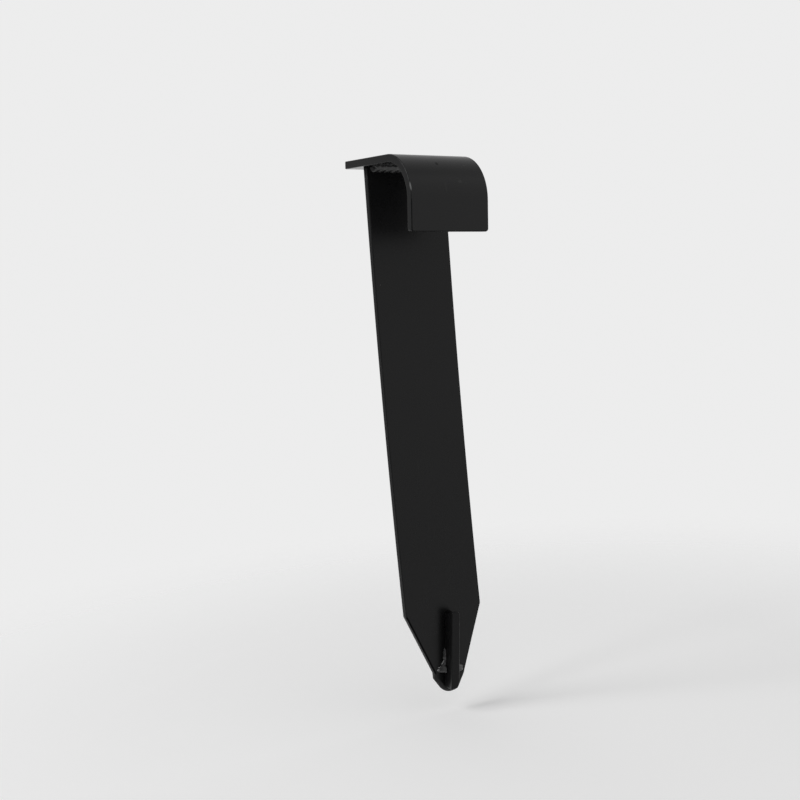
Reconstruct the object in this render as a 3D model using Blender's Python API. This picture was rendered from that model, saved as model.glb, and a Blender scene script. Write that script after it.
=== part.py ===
"""Drip tube stake: a flat steel blade with a welded hook cap and a welded fin at its tip.

Frame: +Z up, the flap of the hook faces -Y, the width of the strip lies along X.
The origin is the lowest point of the nose, on the blade's centreline and mid-plane.
All sizes are in metres.
"""

from math import acos, atan2, cos, hypot, pi, radians, sin

import bmesh
import bpy
from mathutils import Euler, Matrix, Vector

# Flat strip that the cap and the blade are cut from
STRIP_WIDTH = 0.0202
STRIP_THICKNESS = 0.0018
EDGE_BREAK = 0.00020
WELD_GAP = 0.0003

# Blade
STAKE_LENGTH = 0.1281
TAPER_LENGTH = 0.0201
NOSE_LENGTH = 0.0052
NOSE_SIDE = 0.0014
NOSE_WIDTH = 0.0082
NOSE_RADIUS = 0.0031
GRIND_WIDTH = 0.0007
GRIND_DEPTH = 0.0009
BLADE_BOW = 0.0017
TRIM_ROOM = 0.0050

# Hook cap: flat striking face, one bend, and the flap in front of the tube
TUBE_CLEARANCE = 0.0182
REAR_LEDGE = 0.0085
BEND_RADIUS = 0.0086
FLAP_DROP = 0.0175
FLAP_CORNER_RADIUS = 0.0007
LEDGE_CORNER_RADIUS = 0.0004
BEND_STEPS = 16

# How the cap sits on the blade, as welded by hand
CAP_OFFSET = -0.0005
CAP_TWIST = radians(5.2)
CAP_LEAN = radians(2.9)
CAP_PITCH = radians(3.1)

# Fin on the front of the tip
FIN_LENGTH = 0.0188
FIN_HEIGHT = 0.0034
FIN_THICKNESS = 0.0021
FIN_SETBACK = 0.0016
FIN_OFFSET = -0.0009
FIN_TILT = radians(7.2)
FIN_NOSE_RADIUS = 0.0006
FIN_HEEL_RADIUS = 0.0005
FIN_CORNER_RADIUS = 0.0017
FIN_TOP_CORNER_RADIUS = 0.0009

# Fillet welds
CAP_WELD_END_MARGIN = 0.0008
CAP_WELD_FRONT_LEG = 0.0015
CAP_WELD_REAR_LEG = 0.0021
CAP_WELD_RIPPLE_PITCH = 0.0016
FIN_WELD_START = 0.0034
FIN_WELD_RUN = 0.0060
FIN_WELD_LEG = 0.0006
FIN_WELD_TOE_LEFT = 0.0021
FIN_WELD_TOE_RIGHT = 0.0025
FIN_WELD_TOE_HEIGHT = 0.0014
FIN_WELD_TOE_HOLD = 0.0011
FIN_WELD_TOE_LENGTH = 0.0032
FIN_WELD_RIPPLE_PITCH = 0.0009
RIPPLE_DEPTH = 0.06
BEAD_START_SHARE = 0.35
BEAD_START_LENGTH = 0.0009

# Facets
TAPER_STEPS = 5
SIDE_STEPS = 14
NOSE_ARC_STEPS = 7
FIN_ARC_STEPS = 4
WELD_STEPS_PER_RIPPLE = 3
WELD_ARC_STEPS = 6
SMOOTH_ANGLE = radians(32)
CORNER_ANGLE = radians(50)
TINY = 1e-7

# Derived sizes
BLADE_FRONT = -STRIP_THICKNESS / 2
BLADE_BACK = STRIP_THICKNESS / 2
CAP_WELD_LENGTH = STRIP_WIDTH - abs(CAP_OFFSET) - 2 * CAP_WELD_END_MARGIN


def clear_scene():
    """Remove every object that the scene holds."""
    for old in list(bpy.data.objects):
        bpy.data.objects.remove(old, do_unlink=True)


def coated_steel(name, colour, roughness):
    """Return the painted steel material of one piece."""
    material = bpy.data.materials.new(name)
    material.use_nodes = True
    shader = material.node_tree.nodes["Principled BSDF"]
    shader.inputs["Base Color"].default_value = (*colour, 1.0)
    shader.inputs["Roughness"].default_value = roughness
    shader.inputs["Metallic"].default_value = 0.0
    return material


def bow(z):
    """Depth that the blade's bow adds at a height: none at the nose and at the striking face."""
    return 4 * BLADE_BOW * z * (STAKE_LENGTH - z) / STAKE_LENGTH ** 2


def add_piece(name, bm, material, parent, place=None, bowed=True):
    """Put a bmesh in its place, bend it with the blade and turn it into a named object."""
    if place is not None:
        bmesh.ops.transform(bm, matrix=place, verts=bm.verts)
    if bowed:
        for vert in bm.verts:
            vert.co.y += bow(vert.co.z)
    bmesh.ops.recalc_face_normals(bm, faces=bm.faces)
    mesh = bpy.data.meshes.new(name)
    bm.to_mesh(mesh)
    bm.free()
    mesh.shade_smooth()
    mesh.set_sharp_from_angle(angle=SMOOTH_ANGLE)
    mesh.materials.append(material)
    piece = bpy.data.objects.new(name, mesh)
    bpy.context.scene.collection.objects.link(piece)
    piece.parent = parent
    return piece


def arc(centre, radius, start, end, steps):
    """Points of an arc in a plane, both ends included."""
    return [
        (centre[0] + radius * cos(start + (end - start) * i / steps),
         centre[1] + radius * sin(start + (end - start) * i / steps))
        for i in range(steps + 1)
    ]


def close_flat(bm, ring):
    """Close a flat loop by one face."""
    bm.faces.new(ring)


def close_rungs(bm, ring):
    """Close a loop that is the same left and right of its first point, rung by rung."""
    count = len(ring)
    bm.faces.new((ring[0], ring[1], ring[-1]))
    for i in range(1, count // 2):
        bm.faces.new((ring[i], ring[i + 1], ring[count - i - 1], ring[count - i]))


def loft(bm, loops, close=close_flat):
    """Join closed loops of equal length by quads and close both ends."""
    rings = [[bm.verts.new(point) for point in loop] for loop in loops]
    count = len(rings[0])
    for lower, upper in zip(rings, rings[1:]):
        for i in range(count):
            j = (i + 1) % count
            bm.faces.new((lower[i], lower[j], upper[j], upper[i]))
    close(bm, rings[0])
    close(bm, rings[-1])


def cut_away(bm, point, normal):
    """Cut off what lies beyond a plane and close the cut."""
    everything = bm.verts[:] + bm.edges[:] + bm.faces[:]
    cut = bmesh.ops.bisect_plane(bm, geom=everything, dist=TINY, plane_co=point,
                                 plane_no=normal, clear_outer=True)
    rim = [part for part in cut["geom_cut"] if isinstance(part, bmesh.types.BMEdge)]
    bmesh.ops.holes_fill(bm, edges=rim, sides=0)


def round_edges(bm, choose, radius, segments):
    """Round the edges that a test on their two ends picks."""
    edges = [edge for edge in bm.edges if choose(edge)]
    bmesh.ops.bevel(bm, geom=edges, offset=radius, segments=segments, profile=0.5,
                    affect="EDGES", clamp_overlap=True, material=-1)


def is_crisp(edge):
    """Tell whether an edge is a corner of the strip and not a facet of a bend."""
    return len(edge.link_faces) == 2 and edge.calc_face_angle(0.0) > CORNER_ANGLE


# Cap placement: the pivot lies over the blade's front face, on the striking face
CAP_LOCATION = Vector((CAP_OFFSET, BLADE_FRONT, STAKE_LENGTH))
CAP_ROTATION = Euler((CAP_PITCH, CAP_LEAN, CAP_TWIST), "XYZ")
CAP_MATRIX = Matrix.Translation(CAP_LOCATION) @ CAP_ROTATION.to_matrix().to_4x4()


def cap_underside(x, y):
    """Height of the cap's underside over a point of the blade's plan."""
    normal = CAP_ROTATION.to_matrix() @ Vector((0.0, 0.0, 1.0))
    point = CAP_MATRIX @ Vector((0.0, 0.0, -STRIP_THICKNESS))
    return point.z - (normal.x * (x - point.x) + normal.y * (y - point.y)) / normal.z


def blade_outline():
    """Half outline of the blade below its top edge, from the nose up, as (x, z)."""
    half, narrow = STRIP_WIDTH / 2, NOSE_WIDTH / 2
    radius = min(NOSE_RADIUS, narrow)
    shoulder = NOSE_LENGTH - NOSE_SIDE
    reach = hypot(narrow, shoulder - radius)
    toward = atan2(shoulder - radius, narrow)
    tangent = toward - acos(radius / reach)
    points = arc((0.0, radius), radius, -pi / 2, tangent, NOSE_ARC_STEPS)
    points.append((narrow, shoulder))
    for i in range(TAPER_STEPS + 1):
        u = i / TAPER_STEPS
        points.append((narrow + (half - narrow) * u,
                       NOSE_LENGTH + (TAPER_LENGTH - NOSE_LENGTH) * u))
    straight = cap_underside(0.0, 0.0) - TRIM_ROOM - TAPER_LENGTH
    points += [(half, TAPER_LENGTH + straight * i / SIDE_STEPS) for i in range(1, SIDE_STEPS + 1)]
    return points


def outline_normals(points):
    """Inward unit normals of an open half outline, averaged at each corner."""
    normals = []
    for i, (x, z) in enumerate(points):
        sides = []
        if i > 0:
            sides.append((x - points[i - 1][0], z - points[i - 1][1]))
        if i + 1 < len(points):
            sides.append((points[i + 1][0] - x, points[i + 1][1] - z))
        nx = sum(-dz / hypot(dx, dz) for dx, dz in sides)
        nz = sum(dx / hypot(dx, dz) for dx, dz in sides)
        size = hypot(nx, nz)
        normals.append((nx / size, nz / size))
    return normals


def grind_share(z):
    """Share of the full nose grind at a height: 1 at the nose, 0 on the taper."""
    return min(1.0, max(0.0, (NOSE_LENGTH - z) / NOSE_SIDE))


def blade_loop(y, inset_of):
    """One closed loop of the blade at a depth, set in by a width that depends on height."""
    half_points = blade_outline()
    normals = outline_normals(half_points)
    right = []
    for (x, z), (nx, nz) in zip(half_points, normals):
        inset = inset_of(z)
        if x < TINY:
            nx, nz = 0.0, 1.0
        right.append((x + nx * inset, z + nz * inset))
    top_x = STRIP_WIDTH / 2 - inset_of(STAKE_LENGTH)
    right = [(top_x if z > TAPER_LENGTH - TINY else x, z) for x, z in right]
    loop = [Vector((x, y, z)) for x, z in right]
    loop.append(Vector((top_x, y, cap_underside(top_x, y) - WELD_GAP)))
    loop.append(Vector((-top_x, y, cap_underside(-top_x, y) - WELD_GAP)))
    loop += [Vector((-x, y, z)) for x, z in reversed(right[1:])]
    return loop


def make_blade(material, parent):
    """Blade: flat strip, tapered to a ground nose, its top edge cut to the cap."""

    def broken(_z):
        return EDGE_BREAK

    def ground(z):
        return EDGE_BREAK + (GRIND_WIDTH - EDGE_BREAK) * grind_share(z)

    bm = bmesh.new()
    front_side = blade_loop(BLADE_FRONT, lambda z: 0.0)
    for point in front_side:
        depth = EDGE_BREAK + (GRIND_DEPTH - EDGE_BREAK) * grind_share(point.z)
        point.y = BLADE_FRONT + depth
    loft(bm, [
        blade_loop(BLADE_BACK, broken),
        blade_loop(BLADE_BACK - EDGE_BREAK, lambda z: 0.0),
        front_side,
        blade_loop(BLADE_FRONT, ground),
    ], close_rungs)
    return add_piece("blade", bm, material, parent)


def cap_side_profile():
    """Closed side profile of the cap as (y, z), measured from the blade's front face."""
    front = -(TUBE_CLEARANCE + STRIP_THICKNESS)
    rear = STRIP_THICKNESS + REAR_LEDGE
    outer = BEND_RADIUS + STRIP_THICKNESS
    centre = (front + outer, -outer)
    profile = [(rear, 0.0)]
    profile += arc(centre, outer, pi / 2, pi, BEND_STEPS)
    profile += [(front, -FLAP_DROP), (front + STRIP_THICKNESS, -FLAP_DROP)]
    profile += arc(centre, BEND_RADIUS, pi, pi / 2, BEND_STEPS)
    profile += [(rear, -STRIP_THICKNESS)]
    return profile


def make_cap(material, parent):
    """Hook cap: one strip bent once, with a free rear ledge to strike on."""
    half = STRIP_WIDTH / 2
    rear = STRIP_THICKNESS + REAR_LEDGE
    profile = cap_side_profile()
    bm = bmesh.new()
    loft(bm, [[Vector((x, y, z)) for y, z in profile] for x in (-half, half)])

    def flap_corner(edge):
        a, b = (v.co for v in edge.verts)
        return (abs(a.x - b.x) < TINY and abs(a.z + FLAP_DROP) < TINY
                and abs(b.z + FLAP_DROP) < TINY)

    def ledge_corner(edge):
        a, b = (v.co for v in edge.verts)
        return (abs(a.x - b.x) < TINY and abs(a.y - rear) < TINY
                and abs(b.y - rear) < TINY)

    round_edges(bm, flap_corner, FLAP_CORNER_RADIUS, 3)
    round_edges(bm, ledge_corner, LEDGE_CORNER_RADIUS, 2)
    round_edges(bm, is_crisp, EDGE_BREAK, 1)
    return add_piece("hook_cap", bm, material, parent, CAP_MATRIX, bowed=False)


def fin_place():
    """Transform that puts the lower end of the fin's base line on the blade's front face."""
    foot = Matrix.Translation((FIN_OFFSET, BLADE_FRONT, FIN_SETBACK))
    return foot @ Matrix.Rotation(FIN_TILT, 4, "Y")


def make_fin(material, parent):
    """Fin: a short bar on edge along the front of the tip, its right corners ground round."""
    base, crest = -WELD_GAP, -WELD_GAP - FIN_HEIGHT
    nose = min(FIN_NOSE_RADIUS, FIN_HEIGHT)
    profile = [(base, 0.0)]
    profile += arc((crest + nose, nose), nose, -pi / 2, -pi, FIN_ARC_STEPS)
    profile += arc((crest + FIN_HEEL_RADIUS, FIN_LENGTH - FIN_HEEL_RADIUS),
                   FIN_HEEL_RADIUS, pi, pi / 2, FIN_ARC_STEPS // 2)
    profile += [(base, FIN_LENGTH)]
    half = FIN_THICKNESS / 2
    bm = bmesh.new()
    loft(bm, [[Vector((x, y, z)) for y, z in profile] for x in (-half, half)])
    for radius, end, way in ((FIN_CORNER_RADIUS, 0.0, 1), (FIN_TOP_CORNER_RADIUS, FIN_LENGTH, -1)):
        centre = Vector((half - radius, 0.0, end + way * radius))
        for i in range(FIN_ARC_STEPS):
            turn = pi / 2 * (i + 0.5) / FIN_ARC_STEPS
            outward = Vector((sin(turn), 0.0, -way * cos(turn)))
            cut_away(bm, centre + outward * radius, outward)
    round_edges(bm, is_crisp, EDGE_BREAK, 1)
    return add_piece("tip_fin", bm, material, parent, fin_place())


def bead_section(leg_out, leg_up):
    """Closed section of a convex fillet bead with its corner at (0, 0)."""
    points = [(0.0, 0.0)]
    for i in range(WELD_ARC_STEPS + 1):
        angle = pi / 2 * i / WELD_ARC_STEPS
        points.append((leg_out * cos(angle), leg_up * sin(angle)))
    return points


def bead_steps(length, pitch):
    """Number of steps along a bead, so that each ripple gets its share."""
    return max(1, round(length / pitch)) * WELD_STEPS_PER_RIPPLE


def ripple(distance, pitch):
    """Size factor of a rippled bead at a distance along it."""
    return 1.0 + RIPPLE_DEPTH * cos(2 * pi * distance / pitch)


def end_swell(distance, length):
    """Rounded start and stop of a bead: a share of its size at both ends, 1 between."""
    edge = min(distance, length - distance) / BEAD_START_LENGTH
    if edge >= 1.0:
        return 1.0
    quarter = (1.0 - (1.0 - max(0.0, edge)) ** 2) ** 0.5
    return BEAD_START_SHARE + (1.0 - BEAD_START_SHARE) * quarter


def make_cap_weld(name, side, leg, material, parent):
    """Fillet bead between the cap's underside and one face of the blade."""
    face = BLADE_FRONT if side < 0 else BLADE_BACK
    steps = bead_steps(CAP_WELD_LENGTH, CAP_WELD_RIPPLE_PITCH)
    loops = []
    for i in range(steps + 1):
        distance = CAP_WELD_LENGTH * i / steps
        x = distance + (CAP_OFFSET - CAP_WELD_LENGTH) / 2
        size = leg * ripple(distance, CAP_WELD_RIPPLE_PITCH) * end_swell(distance, CAP_WELD_LENGTH)
        loop = []
        for out, down in bead_section(size, size):
            y = face + side * (WELD_GAP + out)
            loop.append(Vector((x, y, cap_underside(x, y) - WELD_GAP - down)))
        loops.append(loop)
    bm = bmesh.new()
    loft(bm, loops)
    return add_piece(name, bm, material, parent)


def make_fin_weld(name, side, toe_width, material, parent):
    """Fillet bead at the fin's base that swells to a broad toe at its lower end."""
    steps = bead_steps(FIN_WELD_RUN, FIN_WELD_RIPPLE_PITCH)
    loops = []
    for i in range(steps + 1):
        distance = FIN_WELD_RUN * i / steps
        z = FIN_WELD_START + distance
        spent = (distance - FIN_WELD_TOE_HOLD) / (FIN_WELD_TOE_LENGTH - FIN_WELD_TOE_HOLD)
        toe = cos(pi / 2 * min(1.0, max(0.0, spent))) ** 2
        factor = ripple(distance, FIN_WELD_RIPPLE_PITCH) * end_swell(distance, FIN_WELD_RUN)
        out = (FIN_WELD_LEG + (toe_width - FIN_WELD_LEG) * toe) * factor
        up = (FIN_WELD_LEG + (FIN_WELD_TOE_HEIGHT - FIN_WELD_LEG) * toe) * factor
        loops.append([
            Vector((side * (FIN_THICKNESS / 2 + WELD_GAP + x), -WELD_GAP - y, z))
            for x, y in bead_section(out, up)
        ])
    bm = bmesh.new()
    loft(bm, loops)
    return add_piece(name, bm, material, parent, fin_place())


def main():
    """Build the stake."""
    clear_scene()
    stake = bpy.data.objects.new("drip_tube_stake", None)
    bpy.context.scene.collection.objects.link(stake)

    coat = (0.0130, 0.0130, 0.0137)
    make_blade(coated_steel("blade_coat", coat, 0.44), stake)
    make_cap(coated_steel("cap_coat", coat, 0.42), stake)
    make_fin(coated_steel("fin_coat", coat, 0.43), stake)
    make_cap_weld("cap_weld_front", -1, CAP_WELD_FRONT_LEG,
                  coated_steel("cap_weld_front_coat", coat, 0.30), stake)
    make_cap_weld("cap_weld_rear", 1, CAP_WELD_REAR_LEG,
                  coated_steel("cap_weld_rear_coat", coat, 0.30), stake)
    make_fin_weld("fin_weld_left", -1, FIN_WELD_TOE_LEFT,
                  coated_steel("fin_weld_left_coat", coat, 0.26), stake)
    make_fin_weld("fin_weld_right", 1, FIN_WELD_TOE_RIGHT,
                  coated_steel("fin_weld_right_coat", coat, 0.26), stake)


main()
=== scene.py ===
"""Looks of a flat steel stake that holds a drip tube or a garden hose on the ground.

The stake is a tapered blade with a ground nose, a hooked cap welded on its top edge and
a short fin welded on the front of its tip, all under one satin black powder coat.
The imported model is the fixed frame: +Z runs up the blade, the flap of the hook faces -Y,
and the origin is the lowest point of the nose. All sizes are in metres.
"""

import logging
from dataclasses import dataclass, replace
from enum import Enum
from math import acos, atan2, cos, hypot, pi, radians, sin

import bmesh
import bpy
from mathutils import Euler, Matrix, Vector, noise


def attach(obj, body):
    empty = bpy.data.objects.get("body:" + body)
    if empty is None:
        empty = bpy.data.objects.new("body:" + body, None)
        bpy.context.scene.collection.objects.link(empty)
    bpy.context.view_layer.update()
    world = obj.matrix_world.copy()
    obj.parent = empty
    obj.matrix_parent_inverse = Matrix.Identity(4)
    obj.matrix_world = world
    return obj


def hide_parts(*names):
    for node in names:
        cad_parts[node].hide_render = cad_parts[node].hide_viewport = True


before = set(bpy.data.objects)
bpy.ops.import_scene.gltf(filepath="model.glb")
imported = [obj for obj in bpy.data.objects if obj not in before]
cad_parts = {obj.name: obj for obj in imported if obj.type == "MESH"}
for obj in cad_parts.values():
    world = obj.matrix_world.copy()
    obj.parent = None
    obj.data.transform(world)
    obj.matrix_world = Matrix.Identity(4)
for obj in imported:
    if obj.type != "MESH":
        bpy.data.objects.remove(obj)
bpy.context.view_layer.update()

LOG = logging.getLogger("drip_tube_stake")
BODY = "root"
EDGE_ATTRIBUTE = "broken_edge"
FLAT_FACE_WEIGHT = 80
TINY = 1e-7
SEAM = 1e-5
EMBED = 0.00004
SORT_WAY = Vector((0.618, 0.286, 1.0))


class Part(Enum):
    """The pieces of the stake, by the names of their CAD nodes."""

    BLADE = "blade"
    CAP = "hook_cap"
    FIN = "tip_fin"
    CAP_WELD_FRONT = "cap_weld_front"
    CAP_WELD_REAR = "cap_weld_rear"
    FIN_WELD_LEFT = "fin_weld_left"
    FIN_WELD_RIGHT = "fin_weld_right"


class Slot(Enum):
    """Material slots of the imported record."""

    BLADE = "blade_coat"
    CAP = "cap_coat"
    FIN = "fin_coat"
    WELD = "weld_coat"


class Region(Enum):
    """Regions of a piece with a coat of their own, by the place of that coat in its mesh."""

    FACE = 0
    CUT = 1
    SHEARED = 2


@dataclass(frozen=True)
class Strip:
    """Flat bar that the blade and the cap are cut from."""

    width: float = 0.0202
    thickness: float = 0.0018
    edge_break: float = 0.00022
    edge_segments: int = 3
    length: float = 0.1281
    bow: float = 0.0017

    @property
    def front(self) -> float:
        """Depth of the blade's front face."""
        return -self.thickness / 2

    @property
    def back(self) -> float:
        """Depth of the blade's back face."""
        return self.thickness / 2

    def bow_depth(self, height: float) -> float:
        """Find how far the bowed blade stands back at a height.

        Args:
            height: Height over the nose.

        Returns:
            Depth: none at the nose and at the striking face, and the full bow halfway.
        """
        return 4 * self.bow * height * (self.length - height) / self.length ** 2


@dataclass(frozen=True)
class CapSeat:
    """Place of the cap on the blade, with the small errors of welding by hand."""

    strip: Strip
    offset: float = -0.0005
    twist: float = radians(5.2)
    lean: float = radians(2.9)
    pitch: float = radians(3.1)

    @property
    def matrix(self) -> Matrix:
        """Transform from the cap's own frame to the stake's frame."""
        turn = Euler((self.pitch, self.lean, self.twist), "XYZ").to_matrix().to_4x4()
        return Matrix.Translation((self.offset, self.strip.front, self.strip.length)) @ turn

    @property
    def normal(self) -> Vector:
        """Upward normal of the striking face."""
        return (self.matrix.to_3x3() @ Vector((0.0, 0.0, 1.0))).normalized()

    def underside(self, x: float, y: float) -> float:
        """Find the height of the cap's underside.

        Args:
            x: Place across the strip.
            y: Depth, towards the back.

        Returns:
            Height of the underside over that place.
        """
        normal = self.normal
        point = self.matrix @ Vector((0.0, 0.0, -self.strip.thickness))
        return point.z - (normal.x * (x - point.x) + normal.y * (y - point.y)) / normal.z


class Solid:
    """A bmesh with the few operations that every piece of the stake is made by."""

    def __init__(self) -> None:
        """Start with an empty mesh."""
        self.bm = bmesh.new()
        self.edge_layer = self.bm.faces.layers.float.new(EDGE_ATTRIBUTE)

    def block(self, low: Vector, high: Vector) -> None:
        """Add a rectangular bar.

        Args:
            low: Its lowest corner.
            high: Its highest corner.
        """
        size = high - low
        place = Matrix.Translation((low + high) / 2) @ Matrix.Diagonal((*size, 1.0))
        bmesh.ops.create_cube(self.bm, size=1.0, matrix=place)

    def loft(
        self, loops: list[list[Vector]]
    ) -> tuple[list[list[bmesh.types.BMFace]], list[bmesh.types.BMFace]]:
        """Join closed loops one after the other and close the first and the last.

        Args:
            loops: The corners of each loop.

        Returns:
            The faces between each two loops, and the two end faces.
        """
        rings = []
        for loop in loops:
            corners = [self.bm.verts.new(point) for point in loop]
            pairs = zip(corners, corners[1:] + corners[:1])
            rings.append([self.bm.edges.new(pair) for pair in pairs])
        bands = [
            bmesh.ops.bridge_loops(self.bm, edges=[*one, *other])["faces"]
            for one, other in zip(rings, rings[1:])
        ]
        ends = [
            face for ring in (rings[0], rings[-1])
            for face in bmesh.ops.contextual_create(self.bm, geom=ring)["faces"]
        ]
        return bands, ends

    def cut(self, point: Vector, normal: Vector) -> None:
        """Saw off what lies beyond a plane and close the cut.

        Args:
            point: A point of the plane.
            normal: The plane's normal, towards the waste.
        """
        everything = self.bm.verts[:] + self.bm.edges[:] + self.bm.faces[:]
        cut = bmesh.ops.bisect_plane(
            self.bm, geom=everything, dist=TINY, plane_co=point, plane_no=normal, clear_outer=True
        )
        rim = [part for part in cut["geom_cut"] if isinstance(part, bmesh.types.BMEdge)]
        bmesh.ops.holes_fill(self.bm, edges=rim, sides=0)

    def round_edges(
        self, edges: list[bmesh.types.BMEdge], radius: float, segments: int, mark: bool = False
    ) -> None:
        """Round some edges.

        Args:
            edges: The edges.
            radius: Offset of the rounding from each edge.
            segments: Facets across the rounding.
            mark: Whether the new faces are marked as a broken edge.
        """
        made = bmesh.ops.bevel(
            self.bm, geom=edges, offset=radius, offset_type="OFFSET", segments=segments,
            profile=0.5, affect="EDGES", clamp_overlap=False, material=-1,
        )
        if mark:
            for face in made["faces"]:
                face[self.edge_layer] = 1.0

    def sharp_edges(self, angle: float) -> list[bmesh.types.BMEdge]:
        """List the edges that turn by more than an angle.

        Args:
            angle: The angle.

        Returns:
            The edges.
        """
        return [
            edge for edge in self.bm.edges
            if len(edge.link_faces) == 2 and edge.calc_face_angle(0.0) > angle
        ]

    def settle(self) -> None:
        """Put the points, edges and faces in the order of their places, the same on each run."""
        places = (
            (self.bm.verts, lambda point: point.co),
            (self.bm.edges, lambda edge: edge.verts[0].co + edge.verts[1].co),
            (self.bm.faces, lambda face: face.calc_center_median()),
        )
        for parts, place in places:
            parts.sort(key=lambda part: place(part).dot(SORT_WAY))
            parts.index_update()

    def finish(
        self, part: Part, place: Matrix | None = None, bent_with: Strip | None = None
    ) -> bpy.types.Object:
        """Turn the bmesh into the shown piece of a CAD node.

        Args:
            part: The CAD node that the piece stands for.
            place: Transform into the stake's frame, if the mesh isn't there yet.
            bent_with: The strip whose bow the piece follows, if it does.

        Returns:
            The piece, at the origin, unturned and unscaled.
        """
        if place is not None:
            bmesh.ops.transform(self.bm, matrix=place, verts=self.bm.verts)
        if bent_with is not None:
            for point in self.bm.verts:
                point.co.y += bent_with.bow_depth(point.co.z)
        bmesh.ops.remove_doubles(self.bm, verts=self.bm.verts, dist=TINY)
        bmesh.ops.recalc_face_normals(self.bm, faces=self.bm.faces)
        self.settle()
        mesh = bpy.data.meshes.new(part.value + "_coated")
        self.bm.to_mesh(mesh)
        self.bm.free()
        mesh.shade_smooth()
        piece = bpy.data.objects.new(part.value + "_coated", mesh)
        bpy.context.scene.collection.objects.link(piece)
        flats = piece.modifiers.new("flat_faces", "WEIGHTED_NORMAL")
        flats.mode = "FACE_AREA_WITH_ANGLE"
        flats.weight = FLAT_FACE_WEIGHT
        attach(piece, BODY)
        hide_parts(part.value)
        return piece


@dataclass
class Blade:
    """Blade: flat bowed strip, sawn to a taper, its nose rounded and ground from the front."""

    strip: Strip
    seat: CapSeat
    taper_length: float = 0.0201
    nose_length: float = 0.0052
    nose_side: float = 0.0014
    nose_width: float = 0.0082
    nose_radius: float = 0.0031
    nose_steps: int = 12
    grind_width: float = 0.0007
    grind_depth: float = 0.0009
    grind_rounding: float = 0.00015
    roll_over: float = 0.0002
    roll_fade: float = 0.0008
    bow_stations: int = 40

    def outline(self) -> list[Vector]:
        """Draw the right half of the outline.

        Returns:
            Its points from the nose up, the last one above the top edge.
        """
        across, shoulder = self.nose_width / 2, self.nose_length - self.nose_side
        up = shoulder - self.nose_radius
        reach = atan2(up, across) - acos(self.nose_radius / hypot(across, up)) + pi / 2
        turns = [reach * i / self.nose_steps for i in range(self.nose_steps + 1)]
        points = [
            Vector((sin(turn), 0.0, 1.0 - cos(turn))) * self.nose_radius for turn in turns
        ]
        half = self.strip.width / 2
        corners = [
            (across, shoulder), (across, self.nose_length), (half, self.taper_length),
            (half, self.taper_length + self.roll_fade), (half, self.strip.length),
        ]
        return points + [Vector((x, 0.0, z)) for x, z in corners]

    @staticmethod
    def inward(points: list[Vector]) -> list[Vector]:
        """Find the way in from each point of a half outline.

        Args:
            points: The half outline.

        Returns:
            Unit vectors: up at the nose, across at the top, and halfway at each corner between.
        """
        runs = [(after - before).normalized() for before, after in zip(points, points[1:])]
        ways = [Vector((0.0, 0.0, 1.0))]
        ways += [Vector((-(a + b).z, 0.0, (a + b).x)).normalized() for a, b in zip(runs, runs[1:])]
        return [*ways, Vector((-1.0, 0.0, 0.0))]

    def section(self, height: float, side: int) -> list[tuple[float, float]]:
        """Draw the blade's section at one edge.

        Args:
            height: Height of the section over the nose, which sets how much of the grind it has.
            side: 1 for the right edge and -1 for the left one, whose taper is rolled over.

        Returns:
            Points from the back face round the side to the front face, as inset and depth.
        """
        ground = min(1.0, max(0.0, (self.nose_length - height) / self.nose_side))
        sheared = side < 0 and self.nose_length - TINY < height < self.taper_length + TINY
        radius = self.strip.edge_break
        rolled = radius + self.roll_over * sheared
        steps = self.strip.edge_segments
        turns = [pi / 2 * i / steps for i in range(steps + 1)]
        back = [(radius * (1 - sin(a)), self.strip.back - radius * (1 - cos(a))) for a in turns]
        broken = [(rolled * (1 - cos(a)), rolled * (1 - sin(a))) for a in turns]
        run = self.grind_rounding / hypot(self.grind_width, self.grind_depth)
        bevel = [
            (0.0, self.grind_depth + self.grind_rounding),
            (self.grind_width * run, self.grind_depth * (1 - run)),
            (self.grind_width * (1 - run), self.grind_depth * run),
            (self.grind_width + self.grind_rounding, 0.0),
        ]
        front = [
            (a[0] + (b[0] - a[0]) * ground, self.strip.front + a[1] + (b[1] - a[1]) * ground)
            for a, b in zip(broken, bevel)
        ]
        return back + front

    def loops(self) -> list[list[Vector]]:
        """Set the outline in by the section, step by step.

        Returns:
            Closed loops from the back face to the front face.
        """
        points = self.outline()
        halves = {side: [self.section(point.z, side) for point in points] for side in (1, -1)}
        made = []
        for steps in zip(*(zip(*sections) for sections in halves.values())):
            right, left = (
                [
                    Vector((side * (p.x + way.x * inset), depth, p.z + way.z * inset))
                    for p, way, (inset, depth) in zip(points, self.inward(points), step)
                ]
                for side, step in zip(halves, steps)
            )
            for corner in (right[-1], left[-1]):
                corner.z = self.seat.underside(corner.x, corner.y) + EMBED
            made.append(right + left[:0:-1])
        return made

    def form(self, solid: Solid) -> None:
        """Draw the straight blade and mark its regions.

        The broken front edge has the coat of the side, except along the sheared taper.

        Args:
            solid: The solid to draw in.
        """
        bands, ends = solid.loft(self.loops())
        side = len(bands) // 2
        for i, band in enumerate(bands):
            for face in band:
                sheared = self.nose_length < face.calc_center_median().z < self.taper_length
                face[solid.edge_layer] = float(i != side)
                if sheared and i not in (side, side + 1):
                    face.material_index = Region.SHEARED.value
                elif i >= side:
                    face.material_index = Region.CUT.value
        for face in ends:
            face[solid.edge_layer] = 0.0
            face.material_index = Region.FACE.value

    def add_stations(self, solid: Solid) -> None:
        """Cut the faces across at even heights, so that the blade can be bent.

        Args:
            solid: The straight blade.
        """
        for i in range(1, self.bow_stations):
            height = self.seat.underside(0.0, 0.0) * i / self.bow_stations
            bmesh.ops.bisect_plane(
                solid.bm, geom=solid.bm.verts[:] + solid.bm.edges[:] + solid.bm.faces[:],
                dist=TINY, plane_co=(0.0, 0.0, height), plane_no=(0.0, 0.0, 1.0),
            )

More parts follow.
